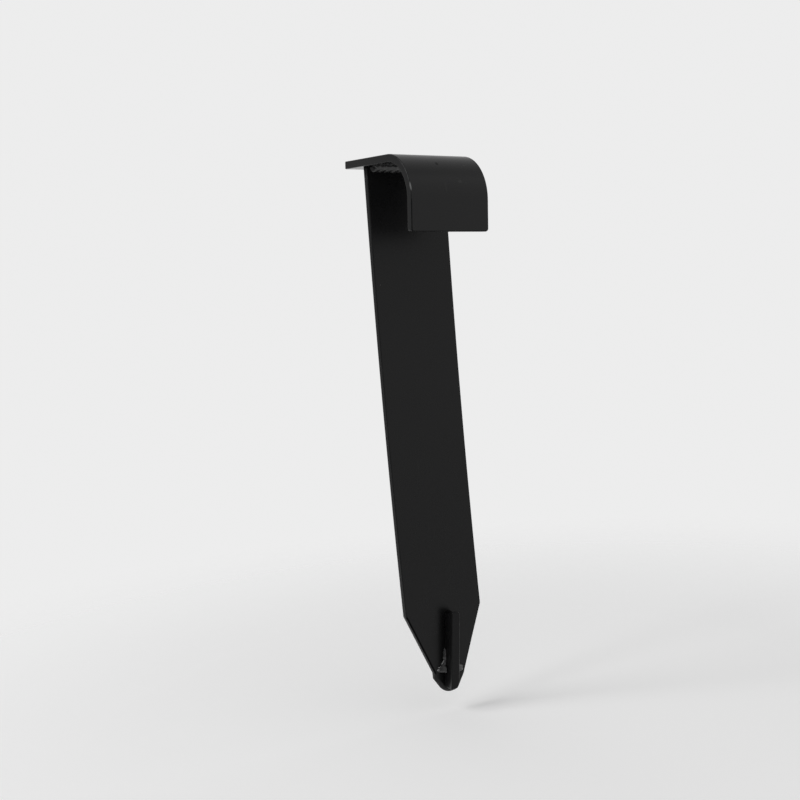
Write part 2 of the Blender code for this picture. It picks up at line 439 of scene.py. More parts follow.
    def build(self) -> bpy.types.Object:
        """Make the blade's mesh.

        Returns:
            The blade.
        """
        solid = Solid()
        self.form(solid)
        self.add_stations(solid)
        return solid.finish(Part.BLADE, bent_with=self.strip)


@dataclass
class HookCap:
    """Hook cap: one strip bent once, with a free rear ledge to strike on."""

    strip: Strip
    seat: CapSeat
    tube_clearance: float = 0.0182
    rear_ledge: float = 0.0085
    bend_radius: float = 0.0086
    flap_drop: float = 0.0175
    flap_corner: float = 0.0007
    ledge_corner: float = 0.0004
    corner_segments: int = 6
    bend_segments: int = 40
    crisp_angle: float = radians(50)

    @property
    def rear(self) -> float:
        """Depth of the rear end, in the cap's own frame."""
        return self.strip.thickness + self.rear_ledge

    @property
    def bend_start(self) -> float:
        """Depth where the bend starts, in the cap's own frame."""
        return self.bend_radius - self.tube_clearance

    def loops(self) -> list[list[Vector]]:
        """Set the strip's section along the top, round the bend and down the flap.

        Returns:
            The section's four corners at each step, from the rear end on.
        """
        half, thick = self.strip.width / 2, self.strip.thickness
        radius = self.bend_radius + thick
        centre = Vector((0.0, self.bend_start, -radius))
        turns = [pi / 2 * i / self.bend_segments for i in range(self.bend_segments + 1)]
        outward = [Vector((0.0, -sin(turn), cos(turn))) for turn in turns]
        steps = [
            (Vector((0.0, self.rear, 0.0)), outward[0]),
            *((centre + way * radius, way) for way in outward),
            (Vector((0.0, self.bend_start - radius, -self.flap_drop)), outward[-1]),
        ]
        corners = [(-half, 0.0), (half, 0.0), (half, thick), (-half, thick)]
        return [
            [place + Vector((x, 0.0, 0.0)) - way * depth for x, depth in corners]
            for place, way in steps
        ]

    def corner_edges(self, solid: Solid, axis: int, place: float) -> list[bmesh.types.BMEdge]:
        """Find the two corners of an end of the strip.

        Args:
            solid: The formed strip.
            axis: Axis that the end is square to: 1 for the ledge, 2 for the flap.
            place: Where the end is on that axis.

        Returns:
            The edges through the strip's thickness at that end.
        """
        return [
            edge for edge in solid.bm.edges
            if all(abs(end.co[axis] - place) < TINY for end in edge.verts)
            and abs(edge.verts[0].co.x - edge.verts[1].co.x) < TINY
        ]

    def build(self) -> bpy.types.Object:
        """Make the cap's mesh.

        Returns:
            The cap.
        """
        solid = Solid()
        solid.loft(self.loops())
        bmesh.ops.recalc_face_normals(solid.bm, faces=solid.bm.faces)
        solid.round_edges(
            self.corner_edges(solid, 2, -self.flap_drop), self.flap_corner, self.corner_segments
        )
        solid.round_edges(
            self.corner_edges(solid, 1, self.rear), self.ledge_corner, self.corner_segments
        )
        crisp = solid.sharp_edges(self.crisp_angle)
        solid.round_edges(crisp, self.strip.edge_break, self.strip.edge_segments, True)
        solid.bm.normal_update()
        bend_end = -self.strip.thickness - self.bend_radius
        for face in solid.bm.faces:
            on_flap = face.calc_center_median().z < bend_end
            looks_down = face.normal.z < -cos(self.crisp_angle)
            if abs(face.normal.x) > cos(self.crisp_angle / 2):
                face.material_index = Region.CUT.value
            elif on_flap and (face[solid.edge_layer] or looks_down):
                face.material_index = Region.SHEARED.value
        return solid.finish(Part.CAP, self.seat.matrix)


@dataclass
class Bead:
    """Rippled fillet bead that runs along +X, with its corner on the axis."""

    length: float
    pitch: float
    leg_out: float
    leg_up: float
    toe_out: float = 0.0
    toe_up: float = 0.0
    toe_hold: float = 0.0
    toe_length: float = 0.0
    depth: float = 0.14
    bulge: float = 0.60
    lag: float = 0.45
    start_share: float = 0.35
    start_length: float = 0.0009
    unevenness: float = 0.10
    sway_rate: float = 0.7
    seed: float = 0.0
    steps_per_ripple: int = 8
    arc_steps: int = 12

    def toe(self, along: float) -> float:
        """Find how much of the broad toe there is.

        Args:
            along: Distance from the bead's start.

        Returns:
            1 for the full toe and 0 past it.
        """
        if self.toe_length <= 0.0:
            return 0.0
        share = (along - self.toe_hold) / (self.toe_length - self.toe_hold)
        return cos(pi / 2 * min(1.0, max(0.0, share))) ** 2

    def legs(self, along: float) -> tuple[float, float]:
        """Find the two legs of the bead.

        Args:
            along: Distance from the bead's start.

        Returns:
            The leg along +Y and the leg along +Z.
        """
        ridge = abs(sin(pi * along / self.pitch))
        factor = 1.0 - self.depth * (1.0 - ridge)
        sway = noise.noise(Vector((along / self.pitch * self.sway_rate, self.seed, 0.0)))
        factor *= 1.0 + self.unevenness * sway
        edge = min(1.0, min(along, self.length - along) / self.start_length)
        quarter = (1.0 - (1.0 - max(0.0, edge)) ** 2) ** 0.5
        factor *= self.start_share + (1.0 - self.start_share) * quarter
        toe = self.toe(along)
        out = self.leg_out + (self.toe_out - self.leg_out) * toe
        up = self.leg_up + (self.toe_up - self.leg_up) * toe
        return out * factor, up * factor

    def section(self, solid: Solid) -> list[bmesh.types.BMFace]:
        """Spin a leg of length 1 round the corner into the bead's section.

        Args:
            solid: The solid to draw in.

        Returns:
            The faces of the section, at the bead's start.
        """
        corner, toe = solid.bm.verts.new((0, 0, 0)), solid.bm.verts.new((0, 1, 0))
        leg = solid.bm.edges.new((corner, toe))
        bmesh.ops.spin(
            solid.bm, geom=[corner, toe, leg], cent=(0, 0, 0), axis=(1, 0, 0), angle=pi / 2,
            steps=self.arc_steps, use_merge=False, use_duplicate=False,
        )
        bmesh.ops.remove_doubles(solid.bm, verts=solid.bm.verts, dist=SEAM)
        for point in solid.bm.verts:
            turn = atan2(point.co.z, point.co.y)
            chord = 1.0 / (cos(turn) + sin(turn))
            point.co *= chord + (1.0 - chord) * self.bulge
        return list(solid.bm.faces)

    def build(self) -> Solid:
        """Run the section along the joint, ripple by ripple.

        Returns:
            The bead, with its corner on the X axis.
        """
        solid = Solid()
        region = self.section(solid)
        count = max(2, round(self.length / self.pitch)) * self.steps_per_ripple
        out, up = self.legs(0.0)
        bmesh.ops.scale(solid.bm, vec=(1.0, out, up), verts=solid.bm.verts)
        for i in range(count):
            edges = {edge for face in region for edge in face.edges}
            corners = {corner for face in region for corner in face.verts}
            geom = [*region, *edges, *corners]
            made = bmesh.ops.extrude_face_region(solid.bm, geom=geom)["geom"]
            moved = [part for part in made if isinstance(part, bmesh.types.BMVert)]
            region = [part for part in made if isinstance(part, bmesh.types.BMFace)]
            new_out, new_up = self.legs(self.length * (i + 1) / count)
            bmesh.ops.scale(solid.bm, vec=(1.0, new_out / out, new_up / up), verts=moved)
            bmesh.ops.translate(solid.bm, verts=moved, vec=(self.length / count, 0.0, 0.0))
            out, up = new_out, new_up
        for point in solid.bm.verts:
            turn = atan2(point.co.z, point.co.y) if point.co.y + point.co.z > TINY else 0.0
            point.co.x += self.lag * self.pitch * sin(2 * turn)
        return solid


@dataclass
class CapWelds:
    """The two beads that join the cap's underside to the faces of the blade."""

    strip: Strip
    seat: CapSeat
    end_margin: float = 0.0008
    front_leg: float = 0.0015
    rear_leg: float = 0.0021
    pitch: float = 0.0016

    @property
    def length(self) -> float:
        """Length of each bead: where the cap and the blade overlap, less a margin at both ends."""
        return self.strip.width - abs(self.seat.offset) - 2 * self.end_margin

    def place(self, side: int) -> Matrix:
        """Frame of one bead.

        Args:
            side: -1 for the front of the blade and 1 for its back.

        Returns:
            Transform from the bead's frame, which starts at the blade's left edge.
        """
        face = (self.strip.front if side < 0 else self.strip.back) - side * EMBED
        middle = self.seat.offset / 2
        start, end = (
            Vector((x, face, self.seat.underside(x, face) + EMBED))
            for x in (middle - self.length / 2, middle + self.length / 2)
        )
        along = (end - start).normalized()
        away = Vector((0.0, side, 0.0))
        away.z = self.seat.underside(0.0, face + side) - self.seat.underside(0.0, face)
        turned = Matrix((along, away, Vector((0.0, 0.0, -1.0)))).transposed().to_4x4()
        return Matrix.Translation(start) @ turned

    def build(self) -> list[bpy.types.Object]:
        """Make both beads.

        Returns:
            The front bead and the rear bead.
        """
        made = []
        for part, side, leg in (
            (Part.CAP_WELD_FRONT, -1, self.front_leg), (Part.CAP_WELD_REAR, 1, self.rear_leg)
        ):
            bead = Bead(self.length, self.pitch, leg, leg, seed=float(side))
            made.append(bead.build().finish(part, self.place(side), self.strip))
        return made


@dataclass
class TipFin:
    """Fin: a short bar on edge on the front of the tip, with its two weld beads."""

    strip: Strip
    length: float = 0.0188
    height: float = 0.0034
    thickness: float = 0.0021
    setback: float = 0.0016
    offset: float = -0.0009
    tilt: float = radians(7.2)
    gap: float = 0.0003
    nose_radius: float = 0.0006
    heel_radius: float = 0.0005
    corner_radius: float = 0.0017
    top_corner_radius: float = 0.0009
    top_undercut: float = 0.0009
    round_segments: int = 8
    edge_break: float = 0.00024
    crisp_angle: float = radians(50)
    weld_start: float = 0.0032
    weld_run: float = 0.0060
    weld_leg: float = 0.0006
    toe_left: float = 0.0021
    toe_right: float = 0.0030
    toe_height: float = 0.0014
    toe_hold: float = 0.0015
    toe_length: float = 0.0034
    weld_pitch: float = 0.0011
    weld_depth: float = 0.10
    weld_lag: float = 0.15
    weld_unevenness: float = 0.3
    weld_seed: float = 2.0

    @property
    def crest(self) -> float:
        """Depth of the crest in the fin's own frame."""
        return -self.gap - self.height

    @property
    def place(self) -> Matrix:
        """Transform from the fin's own frame, which starts at its lower end on the blade."""
        foot = Matrix.Translation((self.offset, self.strip.front, self.setback))
        return foot @ Matrix.Rotation(self.tilt, 4, "Y")

    def crest_end(self, solid: Solid, height: float) -> list[bmesh.types.BMEdge]:
        """Find the edge across the crest at one end of the fin.

        Args:
            solid: The bar.
            height: Height of the end in the fin's own frame.

        Returns:
            The edge, as a list.
        """
        corner = Vector((0.0, self.crest, height))
        return [
            edge for edge in solid.bm.edges
            if all((end.co - corner).yz.length < TINY for end in edge.verts)
        ]

    def round_corner(self, solid: Solid, radius: float, end: float, way: int) -> None:
        """Grind the right corner of one end round, through the fin's full height.

        Args:
            solid: The bar.
            radius: Radius of the corner.
            end: Height of the end in the fin's own frame.
            way: 1 where the bar runs up from that end and -1 where it runs down.
        """
        centre = Vector((self.thickness / 2 - radius, 0.0, end + way * radius))
        for i in range(self.round_segments + 1):
            turn = pi / 2 * i / self.round_segments
            outward = Vector((sin(turn), 0.0, -way * cos(turn)))
            solid.cut(centre + outward * radius, outward)

    def build_bar(self) -> bpy.types.Object:
        """Make the bar.

        Returns:
            The fin.
        """
        solid = Solid()
        half = self.thickness / 2
        solid.block(Vector((-half, self.crest, 0.0)), Vector((half, EMBED, self.length)))
        undercut = Vector((0.0, self.top_undercut, -self.crest))
        solid.cut(Vector((0.0, self.crest, self.length)), undercut)
        for end, radius in ((0.0, self.nose_radius), (self.length, self.heel_radius)):
            solid.round_edges(self.crest_end(solid, end), radius, self.round_segments)
        self.round_corner(solid, self.corner_radius, 0.0, 1)
        self.round_corner(solid, self.top_corner_radius, self.length, -1)
        crisp = [
            edge for edge in solid.sharp_edges(self.crisp_angle)
            if not all(end.co.y > 0.0 for end in edge.verts)
        ]
        solid.round_edges(crisp, self.edge_break, self.strip.edge_segments, True)
        return solid.finish(Part.FIN, self.place, self.strip)

    def build_welds(self) -> list[bpy.types.Object]:
        """Make the two beads along the fin's base.

        Returns:
            The left bead and the right bead.
        """
        made = []
        for part, side, toe in (
            (Part.FIN_WELD_LEFT, -1, self.toe_left), (Part.FIN_WELD_RIGHT, 1, self.toe_right)
        ):
            bead = Bead(
                self.weld_run, self.weld_pitch, self.weld_leg, self.weld_leg,
                toe_out=toe, toe_up=self.toe_height, toe_hold=self.toe_hold,
                toe_length=self.toe_length, depth=self.weld_depth, lag=self.weld_lag,
                unevenness=self.weld_unevenness, seed=self.weld_seed + side,
            )
            axes = Matrix(((0, 0, 1), (side, 0, 0), (0, -1, 0))).transposed().to_4x4()
            start = Vector((side * (self.thickness / 2 - EMBED), EMBED, self.weld_start))
            place = self.place @ Matrix.Translation(start) @ axes
            made.append(bead.build().finish(part, place, self.strip))
        return made


class Graph:
    """A node tree with short calls to add and join nodes."""

    def __init__(self, tree: bpy.types.NodeTree) -> None:
        """Wrap a node tree."""
        self.tree = tree

    @property
    def place(self) -> bpy.types.NodeSocket:
        """Where the shaded point lies, in the frame of its object."""
        return self.add("ShaderNodeTexCoord").outputs["Object"]

    def add(self, kind: str, inputs: dict | None = None, **settings: object) -> bpy.types.Node:
        """Add a node.

        Args:
            kind: The node's type.
            inputs: Values or sockets for its inputs, by name or number.
            **settings: Its properties.

        Returns:
            The node.
        """
        node = self.tree.nodes.new(kind)
        for name, value in settings.items():
            setattr(node, name, value)
        for name, value in (inputs or {}).items():
            if isinstance(value, bpy.types.NodeSocket):
                self.link(value, node.inputs[name])
            else:
                node.inputs[name].default_value = value
        return node

    def link(self, source: bpy.types.NodeSocket, sink: bpy.types.NodeSocket) -> None:
        """Join an output to an input."""
        self.tree.links.new(source, sink)

    def maths(self, operation: str, *values: object, clamp: bool = False) -> bpy.types.NodeSocket:
        """Add a maths node.

        Args:
            operation: Its operation.
            *values: Values or sockets for its inputs.
            clamp: Whether the result is kept between 0 and 1.

        Returns:
            Its result.
        """
        inputs = dict(enumerate(values))
        return self.add("ShaderNodeMath", inputs, operation=operation, use_clamp=clamp).outputs[0]

    def vector(self, operation: str, first: object, second: object = None) -> bpy.types.NodeSocket:
        """Add a vector maths node.

        Args:
            operation: Its operation.
            first: Vector or socket for its first input.
            second: Vector or socket for its second input, if it has one.

        Returns:
            Its result: a number for LENGTH and DOT_PRODUCT, and else a vector.
        """
        inputs = {0: first} if second is None else {0: first, 1: second}
        outputs = self.add("ShaderNodeVectorMath", inputs, operation=operation).outputs
        return outputs["Value" if operation in ("LENGTH", "DOT_PRODUCT") else "Vector"]

    def ramp(self, value: bpy.types.NodeSocket, low: float, high: float) -> bpy.types.NodeSocket:
        """Turn a value into a soft mask.

        Args:
            value: The value.
            low: Value up to which the mask is 0.
            high: Value from which the mask is 1.

        Returns:
            The mask.
        """
        inputs = {"Value": value, "From Min": low, "From Max": high}
        node = self.add("ShaderNodeMapRange", inputs, interpolation_type="SMOOTHSTEP")
        return node.outputs["Result"]

    def noise(self, cell: object, detail: float, roughness: float = 0.5) -> bpy.types.NodeSocket:
        """Add a noise over the piece.

        Args:
            cell: Size of its coarsest cells, as a number or a socket.
            detail: How many finer layers it has.
            roughness: Share of each finer layer.

        Returns:
            The noise, about 0.5 on average.
        """
        node = self.add("ShaderNodeTexNoise", {
            "Vector": self.place, "Scale": self.maths("DIVIDE", 1.0, cell),
            "Detail": detail, "Roughness": roughness,
        })
        return node.outputs["Fac"]

    def effect(self, group: bpy.types.NodeTree, **values: float) -> bpy.types.NodeOutputs:
        """Place a shared node group.

        Args:
            group: The group.
            **values: Its inputs, by their names in small letters.

        Returns:
            Its outputs.
        """
        inputs = {name.title(): value for name, value in values.items()}
        return self.add("ShaderNodeGroup", inputs, node_tree=group).outputs

    def channel(self, colour: bpy.types.NodeSocket, name: str) -> bpy.types.NodeSocket:
        """Take one channel of a colour."""
        return self.add("ShaderNodeSeparateColor", {"Color": colour}).outputs[name]

    def height(self, vector: bpy.types.NodeSocket) -> bpy.types.NodeSocket:
        """Take the upward part of a vector."""
        return self.add("ShaderNodeSeparateXYZ", {"Vector": vector}).outputs["Z"]

    def mixed(self, mask: object, below: object, above: object) -> bpy.types.NodeSocket:
        """Lay one colour over another where a mask says so."""
        inputs = {0: mask, 6: below, 7: above}
        return self.add("ShaderNodeMix", inputs, data_type="RGBA").outputs[2]


def make_group(
    name: str, inputs: dict[str, float], outputs: list[str]
) -> tuple[Graph, dict, dict]:
    """Start a shader node group of plain numbers.

    Args:
        name: The group's name.
        inputs: Default of each input, by name.
        outputs: Names of the outputs.

    Returns:
        The group's graph, its input sockets and its output sockets, by name.
    """
    tree = bpy.data.node_groups.new(name, "ShaderNodeTree")
    for label, value in inputs.items():
        socket = tree.interface.new_socket(label, in_out="INPUT", socket_type="NodeSocketFloat")
        socket.default_value = value
    for label in outputs:
        tree.interface.new_socket(label, in_out="OUTPUT", socket_type="NodeSocketFloat")
    graph = Graph(tree)
    source, sink = graph.add("NodeGroupInput"), graph.add("NodeGroupOutput")
    return graph, {s.name: s for s in source.outputs}, {s.name: s for s in sink.inputs}


@dataclass(frozen=True)
class Mark:
    """Small mark in a coat: a pit, a scuff, a scratch that runs up the strip, or a painted glint
    on an edge.
    """

    place: tuple[float, float, float]
    width: float
    length: float
    tone: float
    depth: float = 0.0010
    bare_steel: float = 0.0


@dataclass(frozen=True)
class Effects:
    """Shader node groups that the coats share, each built once."""

    mark: bpy.types.NodeTree
    grain: bpy.types.NodeTree
    wear: bpy.types.NodeTree
    dust: bpy.types.NodeTree
    scratches: bpy.types.NodeTree


def mark_group(core: float = 0.25, rim: float = 0.5) -> bpy.types.NodeTree:
    """Build the group for one small mark with a soft rim.

    Args:
        core: Share of the mark's size up to which it is full.
        rim: Share of the mark's size from which it is gone.

    Returns:
        A group with the mark's mask.
    """
    names = ("X", "Y", "Z", "Width", "Depth", "Length")
    graph, give, take = make_group("small_mark", dict.fromkeys(names, 0.0), ["Mask"])
    centre = graph.add("ShaderNodeCombineXYZ", {axis: give[axis] for axis in "XYZ"})
    size = graph.add("ShaderNodeCombineXYZ", {
        "X": give["Width"], "Y": give["Depth"], "Z": give["Length"],
    })
    away = graph.vector("SUBTRACT", graph.place, centre.outputs["Vector"])
    share = graph.vector("DIVIDE", away, size.outputs["Vector"])
    outside = graph.ramp(graph.vector("LENGTH", share), core, rim)
    graph.link(graph.maths("SUBTRACT", 1.0, outside), take["Mask"])
    return graph.tree


def grain_group() -> bpy.types.NodeTree:
    """Build the group for the fine orange peel and the slow unevenness of a powder coat.

    Returns:
        A group with a height in metres and a mottle from 0 to 1.
    """
    inputs = {"Cell": 0.0004, "Height": 0.000002, "Patch": 0.006}
    graph, give, take = make_group("powder_coat_grain", inputs, ["Height", "Mottle"])
    fine = graph.noise(give["Cell"], detail=2.0, roughness=0.45)
    broad = graph.noise(give["Patch"], detail=4.0, roughness=0.55)
    graph.link(graph.maths("MULTIPLY", fine, give["Height"]), take["Height"])
    graph.link(graph.ramp(broad, low=0.3, high=0.7), take["Mottle"])
    return graph.tree


def wear_group(
    start: float = 0.85, reach: float = 0.6, crispness: float = 8.0
) -> bpy.types.NodeTree:
    """Build the group for handling wear on the broken edges.

    Args:
        start: Noise level that is worn where the amount is 0.
        reach: How far an amount of 1 lowers that level.
        crispness: Steepness of the worn patches' borders.

    Returns:
        A group with a wear mask.
    """
    graph, give, take = make_group("edge_wear", {"Amount": 0.3, "Patch": 0.0015}, ["Mask"])
    patches = graph.noise(give["Patch"], detail=3.0)
    level = graph.maths("SUBTRACT", start, graph.maths("MULTIPLY", give["Amount"], reach))
    over = graph.maths("SUBTRACT", patches, level)
    rubbed_and_shaded = graph.maths("MULTIPLY", over, crispness, clamp=True)
    edge = graph.add("ShaderNodeAttribute", attribute_name=EDGE_ATTRIBUTE).outputs["Fac"]
    graph.link(graph.maths("MULTIPLY", rubbed_and_shaded, edge), take["Mask"])
    return graph.tree


def dust_group() -> bpy.types.NodeTree:
    """Build the group for sparse specks of dust, thicker on faces that look up.

    Returns:
        A group with a dust mask.
    """
    inputs = {"Spacing": 0.0022, "Size": 0.00008, "Share": 0.25}
    graph, give, take = make_group("dust_specks", inputs, ["Mask"])
    cells = graph.add("ShaderNodeTexVoronoi", {
        "Vector": graph.place, "Scale": graph.maths("DIVIDE", 1.0, give["Spacing"]),
    })
    reach = graph.maths("DIVIDE", give["Size"], give["Spacing"])
    near = graph.maths("LESS_THAN", cells.outputs["Distance"], reach)
    up = graph.height(graph.add("ShaderNodeNewGeometry").outputs["Normal"])
    share = graph.maths(
        "MULTIPLY_ADD", graph.maths("MAXIMUM", up, 0.0), give["Share"], give["Share"]
    )
    picked = graph.maths("LESS_THAN", graph.channel(cells.outputs["Color"], "Red"), share)
    graph.link(graph.maths("MULTIPLY", near, picked), take["Mask"])
    return graph.tree


def scratch_group(
    sway: float = 0.0003, bends: float = 90.0, spacing: float = 6.0, core: float = 0.08,
    rim: float = 0.2,
) -> bpy.types.NodeTree:
    """Build the group for faint hairline scratches that run mostly along the strip.

    Args:
        sway: How far a scratch strays sideways.
        bends: How many bends it has in a metre.
        spacing: Distance between scratches, in widths of one.
        core: Distance from a scratch's middle up to which it is full, in spacings.
        rim: Distance from which it is gone, in spacings.

    Returns:
        A group with a scratch mask.
    """
    inputs = {"Length": 0.012, "Width": 0.00008, "Share": 0.1}
    graph, give, take = make_group("hairline_scratches", inputs, ["Mask"])
    place = graph.place
    stray = graph.add("ShaderNodeTexNoise", {"Vector": place, "Scale": bends, "Detail": 1.0})
    bent = graph.vector("MULTIPLY", stray.outputs["Color"], (sway, sway, sway))
    across = graph.maths("DIVIDE", 1.0, graph.maths("MULTIPLY", give["Width"], spacing))
    along = graph.maths("DIVIDE", 1.0, give["Length"])
    scale = graph.add("ShaderNodeCombineXYZ", {"X": across, "Y": across, "Z": along})
    drawn = graph.vector("MULTIPLY", graph.vector("ADD", place, bent), scale.outputs["Vector"])
    cells = graph.add("ShaderNodeTexVoronoi", {"Vector": drawn, "Scale": 1.0})
    shade = graph.channel(cells.outputs["Color"], "Green")
    picked = graph.maths("LESS_THAN", shade, give["Share"])
    line = graph.maths("SUBTRACT", 1.0, graph.ramp(cells.outputs["Distance"], core, rim))
    graph.link(graph.maths("MULTIPLY", line, picked), take["Mask"])
    return graph.tree


@dataclass(frozen=True)
class PowderCoat:
    """Satin black powder coat, as one piece of the stake or one of its regions wears it."""

    name: str
    colour: tuple[float, float, float] = (0.0070, 0.0070, 0.0073)
    worn_colour: tuple[float, float, float] = (0.045, 0.045, 0.044)
    dust_colour: tuple[float, float, float] = (0.11, 0.105, 0.10)
    roughness: float = 0.22
    roughness_spread: float = 0.04
    worn_roughness: float = 0.28
    specular: float = 0.25
    ior: float = 1.5
    # Painted shade: the coat colour is darkened from the nose up to a given height, standing in
    # for the dimmer reflection on the lower blade.
    tip_shade: float = 0.45
    tip_height: float = 0.015
    unshaded_height: float = 0.085
    grain_cell: float = 0.00045
    grain_height: float = 0.0000022
    wear: float = 0.30
    dust_share: float = 0.03
    scratch_share: float = 0.03
    scratch_depth: float = 0.0000015
    scratch_strength: float = 0.25
    marks: tuple[Mark, ...] = ()

    def material(self, effects: Effects) -> bpy.types.Material:
        """Build the material.

        Args:
            effects: The shared node groups.

        Returns:
            The coat's material.
        """
        material = bpy.data.materials.new(self.name)
        material.use_nodes = True
        graph = Graph(material.node_tree)
        shader = material.node_tree.nodes["Principled BSDF"]
        grain = graph.effect(effects.grain, cell=self.grain_cell, height=self.grain_height)
        worn = graph.effect(effects.wear, amount=self.wear)["Mask"]
        scratched = graph.effect(effects.scratches, share=self.scratch_share)["Mask"]

        spread = graph.maths("MULTIPLY_ADD", grain["Mottle"], self.roughness_spread,
                             self.roughness - self.roughness_spread / 2)
        drop = graph.maths("MULTIPLY", worn, self.worn_roughness - self.roughness)
        graph.link(graph.maths("ADD", spread, drop), shader.inputs["Roughness"])

        groove = graph.maths("MULTIPLY", scratched, -self.scratch_depth)
        relief = graph.maths("ADD", grain["Height"], groove)
        bump = graph.add("ShaderNodeBump", {"Height": relief, "Distance": 1.0})
        graph.link(bump.outputs["Normal"], shader.inputs["Normal"])

        self.paint(graph, effects, shader, worn, scratched)
        shader.inputs["Specular IOR Level"].default_value = self.specular
        shader.inputs["IOR"].default_value = self.ior
        return material

    def paint(
        self, graph: Graph, effects: Effects, shader: bpy.types.Node,
        worn: bpy.types.NodeSocket, scratched: bpy.types.NodeSocket,
    ) -> None:
        """Colour the coat: painted shade that darkens it towards the tip, then worn, scratched,
        dusty and marked.

        Args:
            graph: The material's graph.
            effects: The shared node groups.
            shader: The material's shader.
            worn: The wear mask.
            scratched: The scratch mask.
        """
        dust = graph.effect(effects.dust, share=self.dust_share)["Mask"]
        # Painted shade: the coat colour darkened towards the tip, fading out higher up the blade.
        rubbed_and_shaded = (*(channel * (1.0 - self.tip_shade) for channel in self.colour), 1.0)
        unshaded = graph.ramp(graph.height(graph.place), self.tip_height, self.unshaded_height)
        faint = graph.maths("MULTIPLY", scratched, self.scratch_strength)
        steel = 0.0
        shown = graph.mixed(unshaded, rubbed_and_shaded, (*self.colour, 1.0))
        shown = graph.mixed(worn, shown, (*self.worn_colour, 1.0))
        shown = graph.mixed(faint, shown, (*self.worn_colour, 1.0))
        shown = graph.mixed(dust, shown, (*self.dust_colour, 1.0))
        for mark in self.marks:
            x, y, z = mark.place
            mask = graph.effect(
                effects.mark, x=x, y=y, z=z, width=mark.width, depth=mark.depth, length=mark.length
            )["Mask"]
            shown = graph.mixed(mask, shown, (mark.tone, mark.tone, mark.tone, 1.0))
            steel = graph.maths("MULTIPLY_ADD", mask, mark.bare_steel, steel)
        graph.link(shown, shader.inputs["Base Color"])
        if self.marks:
            graph.link(steel, shader.inputs["Metallic"])


def dress(
    piece: bpy.types.Object, coats: tuple[PowderCoat, ...], effects: Effects
) -> None:
    """Give a piece its coats.

    Args:
        piece: The piece.
        coats: One coat for each region that the piece has, in the order of Region.
        effects: The shared node groups.
    """
    for coat in coats:
        piece.data.materials.append(coat.material(effects))


@dataclass(frozen=True)
class Shade:
    """A dimmer side of the room."""

    way: tuple[float, float, float]
    low: float
    high: float
    loss: float

    def kept(self, graph: Graph, towards: bpy.types.NodeSocket) -> bpy.types.NodeSocket:
        """Find the share of the light that is left.

        Args:
            graph: The world's graph.
            towards: The direction that is looked in.

        Returns:
            1 up to the low cosine with this side's way, falling by the loss up to the high one.
        """
        facing = graph.vector("DOT_PRODUCT", towards, Vector(self.way).normalized())
        dim = graph.ramp(facing, self.low, self.high)
        return graph.maths("MULTIPLY_ADD", dim, -self.loss, 1.0)


@dataclass(frozen=True)
class Softbox:
    """A square soft lamp."""

    name: str
    place: tuple[float, float, float]
    power: float
    size: float = 0.80
    target: tuple[float, float, float] = (0.0, 0.0, 0.05)

    def hang(self) -> None:
        """Hang the lamp, turned to its target."""
        lamp = bpy.data.lights.new(self.name, "AREA")
        lamp.shape = "SQUARE"
        lamp.size = self.size
        lamp.energy = self.power
        holder = bpy.data.objects.new(self.name, lamp)
        bpy.context.scene.collection.objects.link(holder)
        holder.location = self.place
        way = Vector(self.target) - Vector(self.place)
        holder.rotation_euler = way.to_track_quat("-Z", "Y").to_euler()


